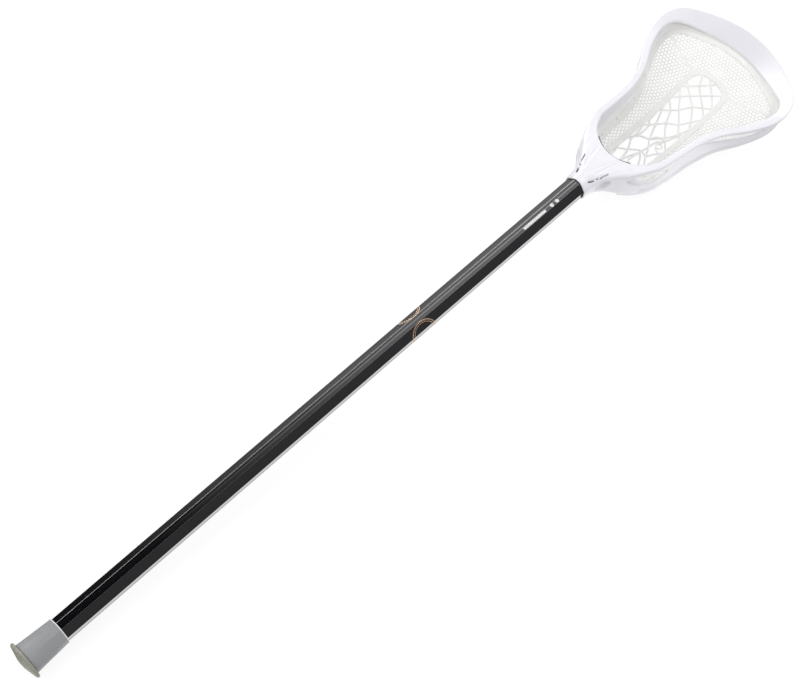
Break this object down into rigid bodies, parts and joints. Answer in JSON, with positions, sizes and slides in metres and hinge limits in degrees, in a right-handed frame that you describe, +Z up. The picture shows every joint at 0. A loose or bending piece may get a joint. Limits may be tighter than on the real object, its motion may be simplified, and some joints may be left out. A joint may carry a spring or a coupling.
{
  "type": "lacrosse stick",
  "caption": "Lacrosse stick: moulded scoop head with a woven one-piece pocket, eight-sided hollow shaft and a rubber butt end, lying on its back.",
  "frame": {"origin": "middle of the stick's length, on the surface that it lies on", "axes": "+X along the stick from the butt end to the scoop, +Z up, out of the open side of the head, +Y across the head; the shaft rises 2.6 degrees towards the head"},
  "size_m": [1.0386, 0.1844, 0.0687],
  "materials": {
    "white_nylon": "smooth moulded nylon, satin gloss",
    "black_foam": "fine closed-cell foam",
    "woven_solid": "dense off-white weave",
    "woven_mesh": "off-white weave with a fine grid of holes",
    "woven_cord": "off-white braided strands",
    "pin_nylon": "moulded",
    "screw_steel": "zinc plated",
    "black_shaft": "glossy black with a light sheen on the ridges",
    "grey_rubber": "smooth satin rubber",
    "olive_rubber": "smooth, slightly clear rubber"
  },
  "bodies": {
    "stick": {"head_frame": "white_nylon", "ball_stop_pad": "black_foam", "pocket_edge_tape": "woven_solid", "pocket_mesh_panel": "woven_mesh", "pocket_channel_band": "woven_solid", "pocket_channel_lattice": "woven_cord", "pocket_pins": "pin_nylon", "head_screw": "screw_steel", "shaft_tube": "black_shaft"},
    "butt_end": {"butt_sleeve": "grey_rubber", "butt_flange": "olive_rubber"}
  },
  "joints": [
    {"name": "butt_end_slide", "type": "slide", "parent": "stick", "child": "butt_end", "axis": [-0.999, 0, -0.0458], "range_m": [0, 0.045]}
  ]
}
